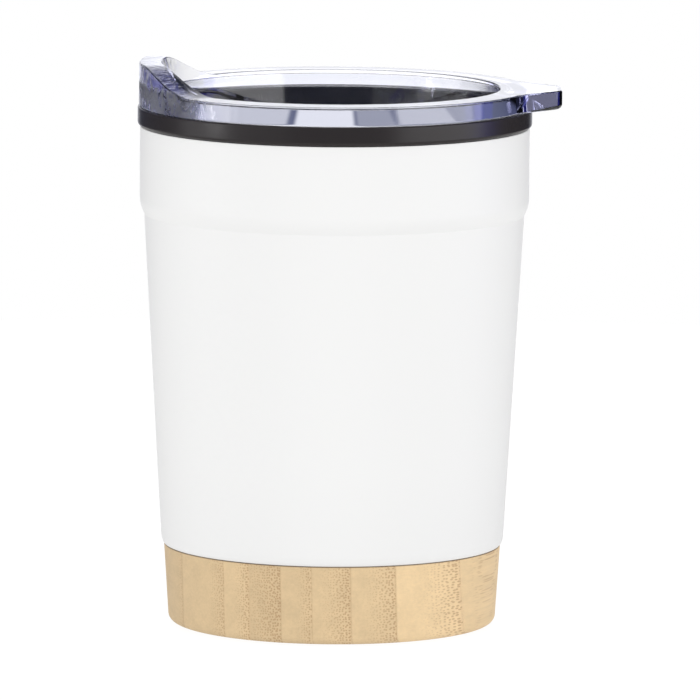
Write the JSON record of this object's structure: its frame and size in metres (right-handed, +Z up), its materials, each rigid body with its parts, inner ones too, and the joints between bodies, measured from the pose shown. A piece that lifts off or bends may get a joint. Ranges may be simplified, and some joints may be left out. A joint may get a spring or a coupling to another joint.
{
  "type": "insulated tumbler",
  "caption": "Tapered double-walled tumbler with a white coated steel shell, black liner, bamboo base and a clear press-in lid with a raised drinking spout and a lift tab.",
  "frame": {"origin": "on the cup's axis, at the centre of the flat face that it stands on", "axes": "+Z up along the cup's axis, -X towards the drinking spout, +X towards the lift tab"},
  "size_m": [0.0892, 0.083, 0.1189],
  "materials": {
    "white_coated_steel": "satin white powder coat on thin steel",
    "bare_steel": "plain rolled steel",
    "black_plastic": "satin black moulded plastic",
    "clear_plastic": "clear moulded plastic with a faint blue tint",
    "silicone": "matt black silicone",
    "bamboo": "sanded laminated bamboo, clear lacquer",
    "grey_foam": "matt dark grey foam rubber"
  },
  "bodies": {
    "cup": {"foot_pad": "grey_foam", "bamboo_base": "bamboo", "base_plug": "black_plastic", "outer_shell": "white_coated_steel", "shell_bottom": "bare_steel", "inner_liner": "black_plastic", "rim_gasket": "silicone"},
    "seal": {"lid_seal": "silicone"},
    "lid": {"lid": "clear_plastic"}
  },
  "joints": [
    {"name": "lid_lift", "type": "slide", "parent": "cup", "child": "seal", "axis": [0, 0, 1], "range_m": [0, 0.1]},
    {"name": "lid_turn", "type": "hinge", "parent": "seal", "child": "lid", "pos_m": [0, 0, 0.1095], "axis": [0, 0, 1], "continuous": true}
  ]
}
